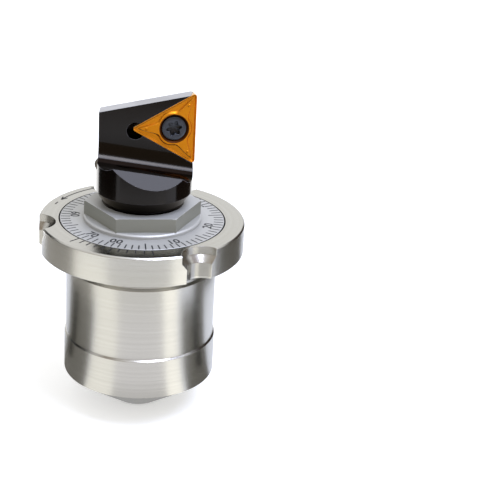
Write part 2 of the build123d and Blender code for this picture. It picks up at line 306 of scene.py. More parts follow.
def addGloss(tree, shader, touch, look):
    gloss = calc(tree, "MULTIPLY_ADD", touch.outputs["Smudge"], look["glossSpread"], look["gloss"])
    link(tree, gloss, shader.inputs["Roughness"])


# A bump over the surface; with an edge radius it lies over rounded edges
def addBump(tree, shader, height, look, edge=None):
    bump = addNode(tree, "ShaderNodeBump", {"Strength": look["bump"], "Distance": look["bumpDepth"],
                                            "Height": height})
    if edge:
        rounded = addNode(tree, "ShaderNodeBevel", {"Radius": edge}, samples=bevelSamples)
        link(tree, rounded.outputs[0], bump.inputs["Normal"])
    link(tree, bump.outputs[0], shader.inputs["Normal"])


def bandMask(tree, band):
    inner, outer, above = band
    return useGroup(tree, bandShade, Inner=inner, Outer=outer, Above=above).outputs["Mask"]


# A turned steel: lathe marks in bump and gloss, smudges, edges lighter with wear and painted highlight, and
# painted shade in its own hollows.
# "sides" paints shade on the upright faces in a band of radii, and "gap" paints the shade of the gap round
# the dial in a thin band
def turnedSteel(name, look):
    material, tree, shader = startMaterial(name)
    marks = useGroup(tree, latheMarks, Pitch=look["pitch"])
    touch = useGroup(tree, handling, Size=look["smudgeSize"])
    wearAndHighlight = useGroup(tree, edgeWearAndHighlight, Radius=look["edge"])
    shade = calc(tree, "MULTIPLY_ADD", marks.outputs["Tone"], look["toneDepth"], 0.5 - look["toneDepth"] / 2)
    body = blendColours(tree, shade, look["dark"], look["light"])
    # Edges lighter: partly wear, partly painted highlight
    colour = blendColours(tree, wearAndHighlight.outputs["Edge"], body, look["wornAndHighlight"])
    # Painted shade in the piece's own hollows
    corner = useGroup(tree, ownHollows, Reach=look["hollowReach"], Depth=look["hollowDepth"])
    colour = blendColours(tree, corner.outputs["Shade"], colour, look["hollowShade"])
    # Painted shade: upright faces in a band of radii are darker, such as the notch walls and the hexagon's
    # sides
    if "sides" in look:
        sides = look["sides"]
        endShare = calc(tree, "MULTIPLY", marks.outputs["EndFace"], sides["share"])
        upright = calc(tree, "SUBTRACT", sides["share"], endShare)
        colour = blendColours(tree, calc(tree, "MULTIPLY", bandMask(tree, sides["band"]), upright), colour,
                              sides["shadeTone"])
    # Painted shade: the dark line of the gap round the dial
    if "gap" in look:
        colour = blendColours(tree, bandMask(tree, look["gap"]["band"]), colour, look["gap"]["shadeTone"])
    link(tree, colour, shader.inputs["Base Color"])
    gloss = calc(tree, "MULTIPLY_ADD", touch.outputs["Smudge"], look["glossSpread"],
                 look["gloss"] - look["glossSpread"] / 2)
    gloss = calc(tree, "MULTIPLY_ADD", marks.outputs["EndFace"], look["faceGloss"] - look["gloss"], gloss)
    gloss = calc(tree, "MULTIPLY_ADD", marks.outputs["Tone"], look["glossSpread"] / 2, gloss)
    link(tree, gloss, shader.inputs["Roughness"])
    setShader(shader, Metallic=look["metal"], Anisotropic=look["stretch"])
    around = addNode(tree, "ShaderNodeTangent", direction_type="RADIAL", axis="Z")
    link(tree, around.outputs[0], shader.inputs["Tangent"])
    addBump(tree, shader, marks.outputs["Height"], look, look["edge"])
    return material


# Colour of the painted shade in the gap round the dial
gapShade = (0.010, 0.010, 0.010)
# In each look the edge colour stands for wear and painted highlight, and the hollow colour for painted shade
steelLooks = {
    "housing_steel": {
        "dark": (0.48, 0.47, 0.435), "light": (0.635, 0.625, 0.585), "wornAndHighlight": (0.80, 0.79, 0.76),
        "pitch": 0.00008, "toneDepth": 0.5, "smudgeSize": 260.0, "gloss": 0.22, "glossSpread": 0.08,
        "faceGloss": 0.20, "stretch": 0.5, "edge": 0.00008, "bump": 0.2, "bumpDepth": 0.00001,
        "hollowShade": (0.10, 0.09, 0.075), "hollowReach": 0.0022, "hollowDepth": 1.3, "metal": 1.0,
        # painted shade: the gap round the dial, and the notch walls darker
        "gap": {"band": (0.01231, 0.01238, 0.0043), "shadeTone": gapShade},
        "sides": {"band": (0.0125, 0.01515, 0.0003), "shadeTone": (0.15, 0.14, 0.12), "share": 0.3},
    },
    "dial_steel": {
        "dark": (0.47, 0.465, 0.445), "light": (0.58, 0.575, 0.55), "wornAndHighlight": (0.85, 0.85, 0.83),
        "pitch": 0.00006, "toneDepth": 0.35, "smudgeSize": 400.0, "gloss": 0.42, "glossSpread": 0.10,
        "faceGloss": 0.44, "stretch": 0.2, "edge": 0.00009, "bump": 0.12, "bumpDepth": 0.00001,
        "hollowShade": (0.14, 0.135, 0.12), "hollowReach": 0.0012, "hollowDepth": 0.6, "metal": 0.3,
        # painted shade: the gap round the dial, and the hexagon's sides darker
        "gap": {"band": (0.01217, 0.0125, 0.0041), "shadeTone": gapShade},
        "sides": {"band": (0.0060, 0.0087, 0.0046), "shadeTone": (0.19, 0.19, 0.14), "share": 0.68},
    },
    "hardened_steel": {
        "dark": (0.36, 0.36, 0.37), "light": (0.48, 0.48, 0.49), "wornAndHighlight": (0.70, 0.70, 0.70),
        "pitch": 0.00005, "toneDepth": 0.4, "smudgeSize": 300.0, "gloss": 0.20, "glossSpread": 0.08,
        "faceGloss": 0.20, "stretch": 0.4, "edge": 0.00006, "bump": 0.2, "bumpDepth": 0.00001,
        "hollowShade": (0.10, 0.10, 0.10), "hollowReach": 0.001, "hollowDepth": 0.5, "metal": 1.0,
    },
    "spring_steel": {
        "dark": (0.20, 0.19, 0.18), "light": (0.33, 0.31, 0.29), "wornAndHighlight": (0.55, 0.54, 0.52),
        "pitch": 0.00005, "toneDepth": 0.4, "smudgeSize": 300.0, "gloss": 0.32, "glossSpread": 0.12,
        "faceGloss": 0.32, "stretch": 0.3, "edge": 0.00005, "bump": 0.25, "bumpDepth": 0.00001,
        "hollowShade": (0.05, 0.05, 0.05), "hollowReach": 0.001, "hollowDepth": 0.6, "metal": 1.0,
    },
    "bearing_bronze": {
        "dark": (0.42, 0.24, 0.10), "light": (0.62, 0.38, 0.17), "wornAndHighlight": (0.80, 0.56, 0.30),
        "pitch": 0.00006, "toneDepth": 0.4, "smudgeSize": 300.0, "gloss": 0.34, "glossSpread": 0.1,
        "faceGloss": 0.34, "stretch": 0.3, "edge": 0.00005, "bump": 0.25, "bumpDepth": 0.00001,
        "hollowShade": (0.12, 0.07, 0.03), "hollowReach": 0.001, "hollowDepth": 0.6, "metal": 1.0,
    },
}


# Glossy black finish of the tool holder: faint brown under the gloss, edges lighter with wear and painted
# highlight, a painted sheen that makes the top face paler, and painted shade (no gloss) in hollows, in the
# groove's lip and on faces that look down
blackLook = {
    "deep": (0.0012, 0.0009, 0.0006), "brown": (0.005, 0.003, 0.002), "wornAndHighlight": (0.50, 0.50, 0.56),
    "wornAndHighlightShare": 0.7, "smudgeSize": 220.0, "top": (0.45, 0.44, 0.43), "topAbove": 0.0185, "topFacing": 0.93,
    "topSpread": 0.8, "topLeast": 0.5, "lipFrom": -0.93, "lipTo": -5.07, "lipFacing": 0.45,
    "underFacing": -0.15, "hollowReach": 0.0026, "hollowDepth": 2.6, "sheen": 0.3,
    "sheenTint": (1.0, 0.94, 0.86, 1), "gloss": 0.08, "glossSpread": 0.10, "edge": 0.00009,
    "pitSize": 7000.0, "bump": 0.10, "bumpDepth": 0.000008,
}


def blackFinish(name, look):
    material, tree, shader = startMaterial(name)
    touch = useGroup(tree, handling, Size=look["smudgeSize"])
    wearAndHighlight = useGroup(tree, edgeWearAndHighlight, Radius=look["edge"])
    pits = useGroup(tree, grain, Size=look["pitSize"])
    body = blendColours(tree, touch.outputs["Smudge"], look["deep"], look["brown"])
    # Edges lighter: partly wear, partly painted highlight
    edge = calc(tree, "MULTIPLY", wearAndHighlight.outputs["Edge"], look["wornAndHighlightShare"])
    body = blendColours(tree, edge, body, look["wornAndHighlight"])
    place = addNode(tree, "ShaderNodeTexCoord")
    parts = splitVector(tree, place.outputs["Object"])
    facing = splitVector(tree, place.outputs["Normal"])
    # Painted sheen: the top face is paler where it faces up, in patches
    level = calc(tree, "GREATER_THAN", facing[2], look["topFacing"])
    onTop = calc(tree, "MULTIPLY", level, calc(tree, "GREATER_THAN", parts[2], look["topAbove"]))
    patchySheen = calc(tree, "MULTIPLY_ADD", touch.outputs["Smudge"], look["topSpread"], look["topLeast"],
                  clamp=True)
    topSheenShare = calc(tree, "MULTIPLY", onTop, patchySheen)
    link(tree, blendColours(tree, topSheenShare, body, look["top"]), shader.inputs["Base Color"])
    addGloss(tree, shader, touch, look)
    # Painted shade: hollows, the groove's lip and faces that look down become a dark metal that gives almost
    # no light back
    corner = useGroup(tree, hollows, Reach=look["hollowReach"], Depth=look["hollowDepth"])
    before = calc(tree, "LESS_THAN", parts[1], look["lipFrom"] * mm)
    inGroove = calc(tree, "MULTIPLY", before, calc(tree, "GREATER_THAN", parts[1], look["lipTo"] * mm))
    tilted = calc(tree, "GREATER_THAN", facing[2], look["lipFacing"])
    paintedShade = calc(tree, "MAXIMUM", corner.outputs["Shade"], calc(tree, "MULTIPLY", inGroove, tilted))
    paintedShade = calc(tree, "MAXIMUM", paintedShade, calc(tree, "LESS_THAN", facing[2], look["underFacing"]))
    link(tree, paintedShade, shader.inputs["Metallic"])  # a dark metal gives almost no light back
    setShader(shader, Specular_IOR_Level=look["sheen"], Specular_Tint=look["sheenTint"])
    addBump(tree, shader, pits.outputs["Height"], look, look["edge"])
    return material


# Where the insert and its screw sit, and the countersink that they share
insertCentre = (4.3, 0, 18.40)
sinkRadius = 2.1
sinkSlope = 30.0


# Orange-gold coating of the insert, with a painted highlight on flanks that look up and on its edges, and
# painted shadow in the countersink and underneath
coatingLook = {
    "deep": (0.69, 0.23, 0.002), "bright": (0.83, 0.305, 0.004), "edge": (0.97, 0.57, 0.14),
    "paleHighlight": (0.90, 0.66, 0.40), "shadow": (0.12, 0.030, 0.001), "shadowRadius": 2.2,
    "underSlope": -3.0, "underStart": -0.6, "overSlope": 4.0, "overStart": -2.0, "flankFacing": 0.3,
    "smudgeSize": 420.0, "edgeRadius": 0.00007, "pitSize": 12000.0,
    "gloss": 0.34, "glossSpread": 0.14, "metal": 0.75, "bump": 0.35, "bumpDepth": 0.000006,
}


def goldCoating(name, look):
    material, tree, shader = startMaterial(name)
    touch = useGroup(tree, handling, Size=look["smudgeSize"])
    wearAndHighlight = useGroup(tree, edgeWearAndHighlight, Radius=look["edgeRadius"])
    pits = useGroup(tree, grain, Size=look["pitSize"])
    body = blendColours(tree, touch.outputs["Smudge"], look["deep"], look["bright"])
    # Edges painted lighter as a highlight
    colour = blendColours(tree, wearAndHighlight.outputs["Edge"], body, look["edge"])
    facing = splitVector(tree, addNode(tree, "ShaderNodeNewGeometry").outputs["Normal"])
    # Painted shadow on faces that look down and in the countersink round the screw
    under = calc(tree, "MULTIPLY_ADD", facing[2], look["underSlope"], look["underStart"], clamp=True)
    place = addNode(tree, "ShaderNodeTexCoord").outputs["Object"]
    centre = [part * mm for part in insertCentre]
    away = addNode(tree, "ShaderNodeVectorMath", {0: place, 1: centre}, operation="DISTANCE")
    inSink = calc(tree, "LESS_THAN", away.outputs["Value"], look["shadowRadius"] * mm)
    shadowed = calc(tree, "MAXIMUM", under, inSink)
    # Painted highlight: flanks that look up are paler
    flank = calc(tree, "LESS_THAN", calc(tree, "ABSOLUTE", facing[1]), look["flankFacing"])
    upward = calc(tree, "MULTIPLY_ADD", facing[2], look["overSlope"], look["overStart"], clamp=True)
    colour = blendColours(tree, calc(tree, "MULTIPLY", flank, upward), colour, look["paleHighlight"])
    link(tree, blendColours(tree, shadowed, colour, look["shadow"]), shader.inputs["Base Color"])
    addGloss(tree, shader, touch, look)
    setShader(shader, Metallic=look["metal"])
    addBump(tree, shader, pits.outputs["Height"], look)
    return material


# Dark blued steel of the screws, with painted shade in the socket
bluedLook = {
    "deep": (0.045, 0.05, 0.06), "bright": (0.10, 0.11, 0.135), "wornAndHighlight": (0.24, 0.25, 0.29),
    "hollowShade": (0.012, 0.010, 0.006), "hollowReach": 0.0009, "hollowDepth": 0.9,
    "smudgeSize": 900.0, "edge": 0.00005, "pitSize": 14000.0,
    "gloss": 0.30, "glossSpread": 0.15, "metal": 0.8, "bump": 0.3, "bumpDepth": 0.000006,
}


def bluedSteel(name, look):
    material, tree, shader = startMaterial(name)
    touch = useGroup(tree, handling, Size=look["smudgeSize"])
    wearAndHighlight = useGroup(tree, edgeWearAndHighlight, Radius=look["edge"])
    pits = useGroup(tree, grain, Size=look["pitSize"])
    body = blendColours(tree, touch.outputs["Smudge"], look["deep"], look["bright"])
    # Edges lighter, as wear and painted highlight
    body = blendColours(tree, wearAndHighlight.outputs["Edge"], body, look["wornAndHighlight"])
    # Painted shade in the socket
    socketShade = useGroup(tree, ownHollows, Reach=look["hollowReach"], Depth=look["hollowDepth"])
    link(tree, blendColours(tree, socketShade.outputs["Shade"], body, look["hollowShade"]), shader.inputs["Base Color"])
    addGloss(tree, shader, touch, look)
    setShader(shader, Metallic=look["metal"])
    addBump(tree, shader, pits.outputs["Height"], look)
    return material


rubberLook = {
    "deep": (0.012, 0.012, 0.012), "bright": (0.03, 0.03, 0.031), "smudgeSize": 800.0, "pitSize": 8000.0,
    "gloss": 0.5, "glossSpread": 0.2, "bump": 0.4, "bumpDepth": 0.00001,
}


def sealRubber(name, look):
    material, tree, shader = startMaterial(name)
    touch = useGroup(tree, handling, Size=look["smudgeSize"])
    pits = useGroup(tree, grain, Size=look["pitSize"])
    body = blendColours(tree, touch.outputs["Smudge"], look["deep"], look["bright"])
    link(tree, body, shader.inputs["Base Color"])
    addGloss(tree, shader, touch, look)
    addBump(tree, shader, pits.outputs["Height"], look)
    return material


# Black filling of the engraved scales, slightly uneven
inkLook = {
    "deep": (0.004, 0.004, 0.005), "bright": (0.018, 0.018, 0.020), "smudgeSize": 1500.0,
    "gloss": 0.45, "glossSpread": 0.2,
}


def scaleInk(name, look):
    material, tree, shader = startMaterial(name)
    touch = useGroup(tree, handling, Size=look["smudgeSize"])
    body = blendColours(tree, touch.outputs["Smudge"], look["deep"], look["bright"])
    link(tree, body, shader.inputs["Base Color"])
    addGloss(tree, shader, touch, look)
    return material


finishes = {slot: turnedSteel(slot, look) for slot, look in steelLooks.items()}
finishes["black_steel"] = blackFinish("black_steel", blackLook)
finishes["coated_carbide"] = goldCoating("coated_carbide", coatingLook)
finishes["screw_steel"] = bluedSteel("screw_steel", bluedLook)
finishes["seal_rubber"] = sealRubber("seal_rubber", rubberLook)
ink = scaleInk("scale_ink", inkLook)
print("finishes made:", len(finishes) + 1)


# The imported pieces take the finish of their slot, smooth over round faces and sharp at real edges
frameCrease = 28


def dressFrame():
    slotOf = {part["node"]: part["material_slot"] for part in frame["record"]["subparts"]}
    for node, piece in frame["nodes"].items():
        piece.data.materials.clear()
        piece.data.materials.append(finishes[slotOf[node]])
        piece.data.shade_smooth()
        piece.data.set_sharp_from_angle(angle=radians(frameCrease))


dressFrame()
print("frame pieces dressed")


def addPiece(name, mesh, body, material):
    mesh.materials.append(material)
    piece = bpy.data.objects.new(name, mesh)
    bpy.context.collection.objects.link(piece)
    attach(piece, body)
    return piece


def polar(radius, degrees):
    return (radius * cos(radians(degrees)), radius * sin(radians(degrees)))


# A ring of points about an axis along Y; its radius is a number or a function of the angle
def ringAbout(centre, radiusAt, depth, steps):
    points = []
    for step in range(steps):
        angle = 2 * pi * step / steps
        radius = radiusAt(angle) if callable(radiusAt) else radiusAt
        points.append((Vector((radius * cos(angle), depth, radius * sin(angle))) + Vector(centre)) * mm)
    return points


# A closed skin made of rings of points; a ring of one point closes it at the axis
def skinFromRings(name, rings, loop=False, crease=32):
    form = bmesh.new()
    rows = [[form.verts.new(point) for point in ring] for ring in rings]
    pairs = list(zip(rows, rows[1:]))
    if loop:
        pairs.append((rows[-1], rows[0]))
    for low, high in pairs:
        count = max(len(low), len(high))
        for step in range(count):
            after = (step + 1) % count
            corners = [low[step % len(low)], low[after % len(low)],
                       high[after % len(high)], high[step % len(high)]]
            form.faces.new(list(dict.fromkeys(corners)))
    bmesh.ops.recalc_face_normals(form, faces=form.faces[:])
    mesh = bpy.data.meshes.new(name)
    form.to_mesh(mesh)
    form.free()
    mesh.shade_smooth()
    mesh.set_sharp_from_angle(angle=radians(crease))
    return mesh


# Triangular insert: a wavy chip breaker runs inside its edges, closest to them half way along
insertLook = {
    "inscribed": 3.174, "corner": 0.4, "sharpest": 0.03, "thickness": 2.38, "flank": 7.0, "bore": 1.4,
    "land": 0.12, "landDip": 0.015, "rise": 0.16, "groove": 0.25, "wall": 0.17, "lip": 0.03,
    "sinkLip": 0.02, "edgeCut": 0.008, "heelInset": 0.06, "heelRise": 0.05,
    "waveMiddle": 0.96, "waveSwing": 0.29, "steps": 720, "crease": 14,
    "dotAt": 4.08, "dotSize": 0.22, "dotRise": 0.12, "dotSunk": 0.02, "dotBase": 0.04, "dotSteps": 24,
}
sideTurn = 2 * pi / 3


def fromSideMiddle(angle):
    return (angle + sideTurn / 2) % sideTurn - sideTurn / 2


def triangleRadius(angle, inset):
    look = insertLook
    inner = look["inscribed"] - inset
    corner = max(look["corner"] - inset, look["sharpest"])
    local = fromSideMiddle(angle)
    tangent = (inner - corner) * tan(sideTurn / 2)
    if abs(tan(local)) * inner <= tangent:
        return inner / cos(local)
    away = sideTurn / 2 - abs(local)
    centre = 2 * (inner - corner)
    return centre * cos(away) + sqrt(corner ** 2 - (centre * sin(away)) ** 2)


def breakerInset(angle):
    share = tan(fromSideMiddle(angle)) / tan(sideTurn / 2)
    return insertLook["waveMiddle"] - insertLook["waveSwing"] * cos(2 * pi * share)


def insertRings():
    look = insertLook
    lip = look["lip"]
    sinkDepth = (sinkRadius - look["bore"]) / tan(radians(sinkSlope))
    flankInset = look["thickness"] * tan(radians(look["flank"]))

    def edge(inset):
        return lambda angle: triangleRadius(angle, inset)

    def breaker(inset):
        return lambda angle: triangleRadius(angle, breakerInset(angle) + inset)

    profile = [
        (look["bore"], look["thickness"]),
        (look["bore"], sinkDepth),
        (sinkRadius - look["sinkLip"], lip),
        (sinkRadius + lip, 0.0),
        (breaker(lip), 0.0),
        (breaker(0.0), lip),
        (breaker(-look["wall"]), look["groove"]),
        (edge(look["land"] + look["rise"]), look["groove"]),
        (edge(look["land"]), look["landDip"]),
        (edge(lip), 0.0),
        (edge(look["edgeCut"]), look["edgeCut"]),
        (edge(0.0), lip),
        (edge(flankInset - look["heelInset"]), look["thickness"] - look["heelRise"]),
        (edge(flankInset), look["thickness"]),
    ]
    return [ringAbout(insertCentre, radiusAt, depth, look["steps"]) for radiusAt, depth in profile]


# Small domes on the face, one near each corner
def dotRings(corner):
    look = insertLook
    middle = Vector(insertCentre) + Vector((look["dotAt"] * cos(corner), 0, look["dotAt"] * sin(corner)))
    rings = [ringAbout(middle, 0.0, look["dotBase"], 1)]
    for share in (0.0, 0.25, 0.5, 0.75, 1.0):
        radius = look["dotSize"] * cos(share * pi / 2)
        rise = look["dotRise"] * sin(share * pi / 2)
        steps = 1 if share == 1.0 else look["dotSteps"]
        rings.append(ringAbout(middle, radius, look["dotSunk"] - rise, steps))
    return rings


def makeInsert():
    skin = skinFromRings("insertPlate", insertRings(), loop=True, crease=insertLook["crease"])
    plate = addPiece("insertPlate", skin, "holder", finishes["coated_carbide"])
    for turn in range(3):
        skin = skinFromRings(f"insertDot{turn}", dotRings(sideTurn / 2 + turn * sideTurn))
        dot = addPiece(f"insertDot{turn}", skin, "holder", finishes["coated_carbide"])
    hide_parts("insert")


makeInsert()
print("insert made")


# Countersunk insert screw with a six-lobe socket
screwLook = {
    "head": 1.78, "recess": 0.14, "shaft": 1.25, "length": 5.0, "tipWidth": 0.25, "tipLength": 0.3,
    "lobes": 6, "lobeMiddle": 1.0, "lobeSwing": 0.17, "turn": 12.0, "socketDepth": 0.85,
    "floorShare": 0.55, "floorDrop": 0.1, "footWidth": 0.06, "footRise": 0.12, "taper": 0.02,
    "lipWidth": 0.03, "lipDepth": 0.05, "crownAt": 1.45, "crownRise": 0.02,
    "rimWidth": 0.12, "rimStep": 0.03, "rimDrop": 0.04, "steps": 180,
}


def screwRings():
    look = screwLook
    head = look["head"]
    slope = tan(radians(sinkSlope))
    rimEnd = (sinkRadius - head) / slope
    taperEnd = (sinkRadius - look["shaft"]) / slope
    top = look["recess"]
    floor = top + look["socketDepth"]

    def lobe(angle):
        return look["lobeMiddle"] + look["lobeSwing"] * cos(look["lobes"] * (angle - radians(look["turn"])))

    profile = [
        (lambda angle: look["floorShare"] * lobe(angle), floor),
        (lambda angle: lobe(angle) - look["footWidth"], floor - look["footRise"]),
        (lambda angle: lobe(angle) - look["taper"], top + look["lipDepth"]),
        (lambda angle: lobe(angle) + look["lipWidth"], top),
        (look["crownAt"], top - look["crownRise"]),
        (head - look["rimWidth"], top),
        (head - look["rimStep"], top + look["rimDrop"]),
        (head, top + look["rimWidth"]),
        (head, rimEnd),
        (look["shaft"], taperEnd),
        (look["shaft"], look["length"] - look["tipLength"]),
        (look["shaft"] - look["tipWidth"], look["length"]),
    ]
    rings = [ringAbout(insertCentre, radiusAt, depth, look["steps"]) for radiusAt, depth in profile]
    bottom = ringAbout(insertCentre, 0.0, floor + look["floorDrop"], 1)
    tip = ringAbout(insertCentre, 0.0, look["length"], 1)
    return [bottom, *rings, tip]


def makeScrew():
    skin = skinFromRings("insertScrew", screwRings())
    screw = addPiece("insertScrew", skin, "holder", finishes["screw_steel"])
    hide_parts("insert_screw")


makeScrew()
print("insert screw made")


# Disc springs: coned discs turned alternately, all drawn unflattened; in the unit they flatten as the holder
# travels out
springLook = {
    "count": 8, "inside": 4.1, "outside": 8.0, "thickness": 0.6, "cone": 0.28, "gap": 0.02, "top": -11.0,
    "travel": 2.0, "chamfer": 0.08, "steps": 96,
}
springPitch = springLook["thickness"] + springLook["cone"] + springLook["gap"]


def springProfile(number):
    look = springLook
    top = look["top"] - number * springPitch - look["gap"] / 2
    rimDrop = look["cone"] if number % 2 == 0 else 0
    boreDrop = look["cone"] - rimDrop
    chamfer = look["chamfer"]
    low = look["thickness"]
    inner, innerTop = look["inside"], top - boreDrop
    outer, outerTop = look["outside"], top - rimDrop
    return [
        (inner + chamfer, innerTop), (outer - chamfer, outerTop),
        (outer, outerTop - chamfer), (outer, outerTop - low + chamfer),
        (outer - chamfer, outerTop - low), (inner + chamfer, innerTop - low),
        (inner, innerTop - low + chamfer), (inner, innerTop - chamfer),
    ]


def makeSprings():
    look = springLook
    turns = [360 * step / look["steps"] for step in range(look["steps"])]
    for number in range(look["count"]):
        rings = [[Vector((*polar(radius, turn), height)) * mm for turn in turns]
                 for radius, height in springProfile(number)]
        skin = skinFromRings(f"discSpring{number}", rings, loop=True)
        spring = addPiece(f"discSpring{number}", skin, "housing_unit", finishes["spring_steel"])
        if number == 0:
            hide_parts("disc_springs")  # the first disc stands for the whole node
        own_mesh(spring)


makeSprings()
print("disc springs made")


# Engraved strokes: ribbons of filling that stand a hair above the face
def addStroke(form, points, width, face, proud=0.012, sunk=0.03):
    count = len(points)
    sides = []
    for number, point in enumerate(points):
        before = Vector(points[max(number - 1, 0)])
        after = Vector(points[min(number + 1, count - 1)])
        way = (after - before).normalized()
        aside = Vector((-way.y, way.x)) * width / 2
        left = Vector(point) + aside
        right = Vector(point) - aside
        corners = ((left, face + proud), (right, face + proud), (right, face - sunk), (left, face - sunk))
        sides.append([form.verts.new((spot.x * mm, spot.y * mm, height * mm)) for spot, height in corners])
    for first, second in zip(sides, sides[1:]):
        for edge in range(4):
            nextEdge = (edge + 1) % 4
            form.faces.new((first[edge], first[nextEdge], second[nextEdge], second[edge]))
    form.faces.new(sides[0][::-1])
    form.faces.new(sides[-1])


def finishStrokes(form, name, body):
    bmesh.ops.recalc_face_normals(form, faces=form.faces[:])
    mesh = bpy.data.meshes.new(name)
    form.to_mesh(mesh)
    form.free()
    addPiece(name, mesh, body, ink)


# Scale of the dial: 75 divisions and a figure at every tenth; of the others, each fifth stroke is long
dialLook = {
    "face": 4.6, "divisions": 75, "firstAngle": -118.3, "outer": 12.05, "short": 1.4, "long": 2.1,
    "longEvery": 5, "width": 0.19, "figureEvery": 10, "figureRadius": 10.05, "figureHeight": 1.30,
    "capShare": 0.7, "figureDepth": 0.02, "figureSwell": 0.035, "figureSunk": 0.008, "spacing": 1.05,
}


def makeDialScale():
    look = dialLook
    form = bmesh.new()
    for mark in range(look["divisions"]):
        angle = look["firstAngle"] + 360 * mark / look["divisions"]
        isLong = mark % look["longEvery"] == 0 and mark % look["figureEvery"]
        length = look["long"] if isLong else look["short"]
        start = polar(look["outer"], angle)
        end = polar(look["outer"] - length, angle)
        addStroke(form, [start, end], look["width"], look["face"])
    finishStrokes(form, "dialScale", "dial")


def makeDialFigures():
    look = dialLook
    for number in range(look["divisions"] // look["figureEvery"] + 1):
        name = f"dialFigure{number}0"
        words = bpy.data.curves.new(name, "FONT")
        words.body = f"{number}0"
        words.align_x = "CENTER"
        words.align_y = "CENTER"
        words.size = look["figureHeight"] / look["capShare"] * mm
        words.extrude = look["figureDepth"] * mm
        words.offset = look["figureSwell"] * mm
        words.space_character = look["spacing"]
        words.materials.append(ink)
        piece = bpy.data.objects.new(name, words)
        bpy.context.collection.objects.link(piece)
        angle = look["firstAngle"] + 360 * number * look["figureEvery"] / look["divisions"]
        x, y = polar(look["figureRadius"], angle)
        piece.location = (x * mm, y * mm, (look["face"] - look["figureSunk"]) * mm)
        piece.rotation_euler = (0, 0, radians(angle + 90))
        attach(piece, "dial")


makeDialScale()
makeDialFigures()
print("dial scale made")


# Vernier, turning arrow and signs on the flange
flangeLook = {
    "face": 4.6, "vernierStart": -143.0, "vernierStep": 5.28, "vernierMarks": 11, "longEvery": 5,
    "inner": 12.5, "short": 13.5, "long": 14.1, "width": 0.20,
    "arrowRadius": 13.9, "arrowFrom": 113.0, "arrowTo": 146.0,
    "arrowSteps": 24, "headLength": 1.1, "headSpread": 0.42, "minusAngle": 152.5, "plusAngle": 106.0,
    "signSize": 0.9,
}


def makeFlangeMarks():
    look = flangeLook
    form = bmesh.new()
    for mark in range(look["vernierMarks"]):
        angle = look["vernierStart"] + mark * look["vernierStep"]
        outer = look["long"] if mark % look["longEvery"] == 0 else look["short"]
        addStroke(form, [polar(look["inner"], angle), polar(outer, angle)], look["width"], look["face"])
    radius = look["arrowRadius"]
    steps = look["arrowSteps"]
    spread = look["arrowTo"] - look["arrowFrom"]
    bow = [polar(radius, look["arrowFrom"] + spread * step / steps) for step in range(steps + 1)]
    addStroke(form, bow, look["width"], look["face"])
    turnBack = look["headLength"] / radius * 180 / pi
    for tip, way in ((look["arrowFrom"], 1), (look["arrowTo"], -1)):
        for side in (-1, 1):
            tail = polar(radius + side * look["headSpread"], tip + way * turnBack)
            addStroke(form, [polar(radius, tip), tail], look["width"], look["face"])
    half = look["signSize"] / 2
    reach = half / radius * 180 / pi
    for angle in (look["minusAngle"], look["plusAngle"]):
        dash = [polar(radius, angle - reach), polar(radius, angle + reach)]
        addStroke(form, dash, look["width"], look["face"])
    upright = [polar(radius - half, look["plusAngle"]), polar(radius + half, look["plusAngle"])]
    addStroke(form, upright, look["width"], look["face"])
    finishStrokes(form, "flangeMarks", "housing_unit")


makeFlangeMarks()
print("flange marks made")


# Floor under the unit: plain, with the unit's shadow, and lifted towards white for the camera alone
floorLook = {
    "reach": 3.0, "squares": 12, "colour": (0.93, 0.93, 0.925), "gloss": 0.9, "sheen": 0.1, "lift": 0.4,
}


def makeFloor():
    look = floorLook
    form = bmesh.new()
    bmesh.ops.create_grid(form, x_segments=look["squares"], y_segments=look["squares"], size=look["reach"])
    mesh = bpy.data.meshes.new("floor")
    form.to_mesh(mesh)
    form.free()
    floor = bpy.data.objects.new("floor", mesh)
    bpy.context.collection.objects.link(floor)
    floor.location = (0, 0, cadBounds[0].z)
    material, tree, shader = startMaterial("floor")
    setShader(shader, Base_Color=(*look["colour"], 1), Roughness=look["gloss"],
              Specular_IOR_Level=look["sheen"])
    path = addNode(tree, "ShaderNodeLightPath")
    glow = addNode(tree, "ShaderNodeEmission", {"Strength": look["lift"]})
    both = addNode(tree, "ShaderNodeAddShader", {0: shader.outputs[0], 1: glow.outputs[0]})
    seen = addNode(tree, "ShaderNodeMixShader", {0: path.outputs["Is Camera Ray"], 1: shader.outputs[0],
                                                 2: both.outputs[0]})
    link(tree, seen.outputs[0], tree.nodes["Material Output"].inputs["Surface"])
    mesh.materials.append(material)


makeFloor()


# Studio: a softbox high at the right, a plain world, and cards that only reflections see.
# Angles run from the camera's side, and a card is an arc with a profile of (radius, height) points
cameraSide = -102.15
softbox = {"side": 65.75, "height": 66.2, "distance": 0.42, "size": 0.27, "level": 5.0,
           "colour": (0.84, 0.94, 1.28)}
worldLook = {"seen": 1.0, "light": 0.78}
onFloor = cadBounds[0].z / mm + 0.2
capShape = [(3.6, onFloor), (12.5, onFloor)]
nearShape = [(12.5, onFloor), (52, onFloor)]
footShape = [(12.5, onFloor), (24, onFloor)]
stripeShape = [(24, onFloor), (52, onFloor)]
farShape = [(52, onFloor), (66, onFloor), (67.5, onFloor + 9)]
highShape = [(67.5, onFloor + 9), (75, onFloor + 68)]
rimShape = [(76, onFloor), (125, onFloor)]
lineShape = [(106, onFloor), (115, onFloor)]
frontShape = [(150, -45), (158, 5), (135, 90), (110, 128)]
overShape = [(211, 270), (157, 327)]
plain = (1.0, 1.0, 1.0)

